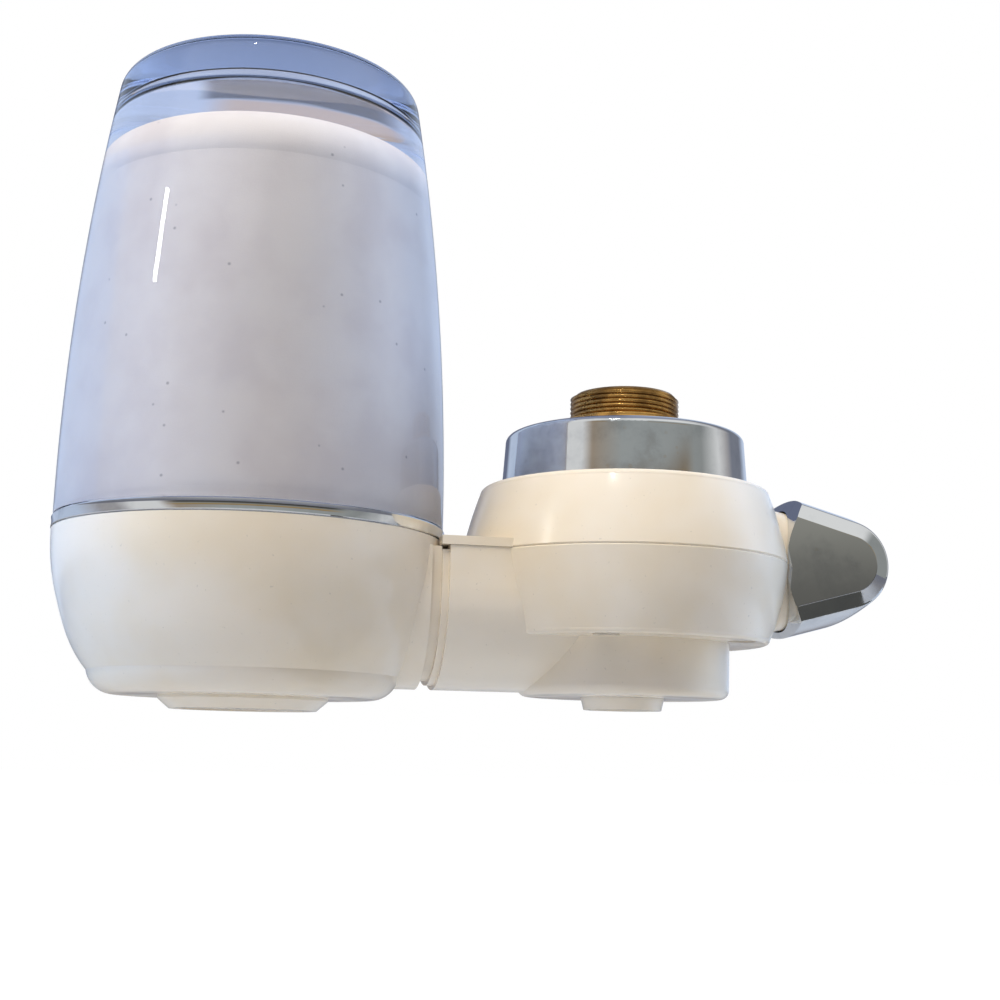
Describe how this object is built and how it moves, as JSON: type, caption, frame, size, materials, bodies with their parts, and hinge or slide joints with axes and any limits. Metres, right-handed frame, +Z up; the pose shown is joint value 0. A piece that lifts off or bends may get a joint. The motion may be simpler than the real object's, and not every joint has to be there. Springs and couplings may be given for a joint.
{
  "type": "faucet mount water filter",
  "caption": "Tap mounted water filter: clear domed housing with ceramic cartridge on a white bowl, joined by a short arm to a round valve with coupling nut and turning lever.",
  "frame": {"origin": "centre of the tap adapter's upper face, where the rim of the tap's outlet rests", "axes": "+Z up along the tap's outlet, +X from the filter through the valve to the lever, -Y to the user"},
  "size_m": [0.1761, 0.0802, 0.1334],
  "materials": {
    "clear_plastic": "clear, polished",
    "white_shell": "glossy moulded",
    "chrome": "mirror plated",
    "brass": "turned",
    "ceramic": "matt porous",
    "carbon": "pressed granules",
    "rubber": "moulded",
    "steel": "bright",
    "inner_plastic": "moulded",
    "blue_plastic": "moulded"
  },
  "bodies": {
    "valve": {"filter_bowl": "white_shell", "trim_ring": "chrome", "housing_seal": "rubber", "pressure_core": "inner_plastic", "outlet_ring": "white_shell", "shower_plate": "white_shell", "ceramic_shell": "ceramic", "cartridge_end_cap": "blue_plastic", "cartridge_seals": "rubber", "carbon_block": "carbon", "carbon_washer": "rubber", "arm_collar": "white_shell", "water_nipple": "inner_plastic", "nipple_seals": "rubber", "joint_screws": "steel", "upper_cover": "white_shell", "lower_cover": "white_shell", "cover_screws": "steel", "tap_adapter": "brass", "inlet_gasket": "rubber", "inlet_strainer": "steel", "valve_body": "inner_plastic", "spindle_gland": "inner_plastic", "raw_spout": "white_shell", "spout_screen": "inner_plastic"},
    "lever": {"lever": "chrome", "lever_screw": "steel", "valve_spindle": "brass", "spindle_seals": "rubber"},
    "nut": {"coupling_nut": "chrome"},
    "housing": {"clear_housing": "clear_plastic"}
  },
  "joints": [
    {"name": "lever_turn", "type": "hinge", "parent": "valve", "child": "lever", "pos_m": [0.02, 0, -0.0312], "axis": [1, 0, 0], "range_deg": [0, 90]},
    {"name": "nut_turn", "type": "hinge", "parent": "valve", "child": "nut", "pos_m": [0, 0, -0.0136], "axis": [0, 0, 1], "continuous": true},
    {"name": "housing_lift", "type": "slide", "parent": "valve", "child": "housing", "axis": [0, 0, 1], "range_m": [0, 0.11]}
  ]
}
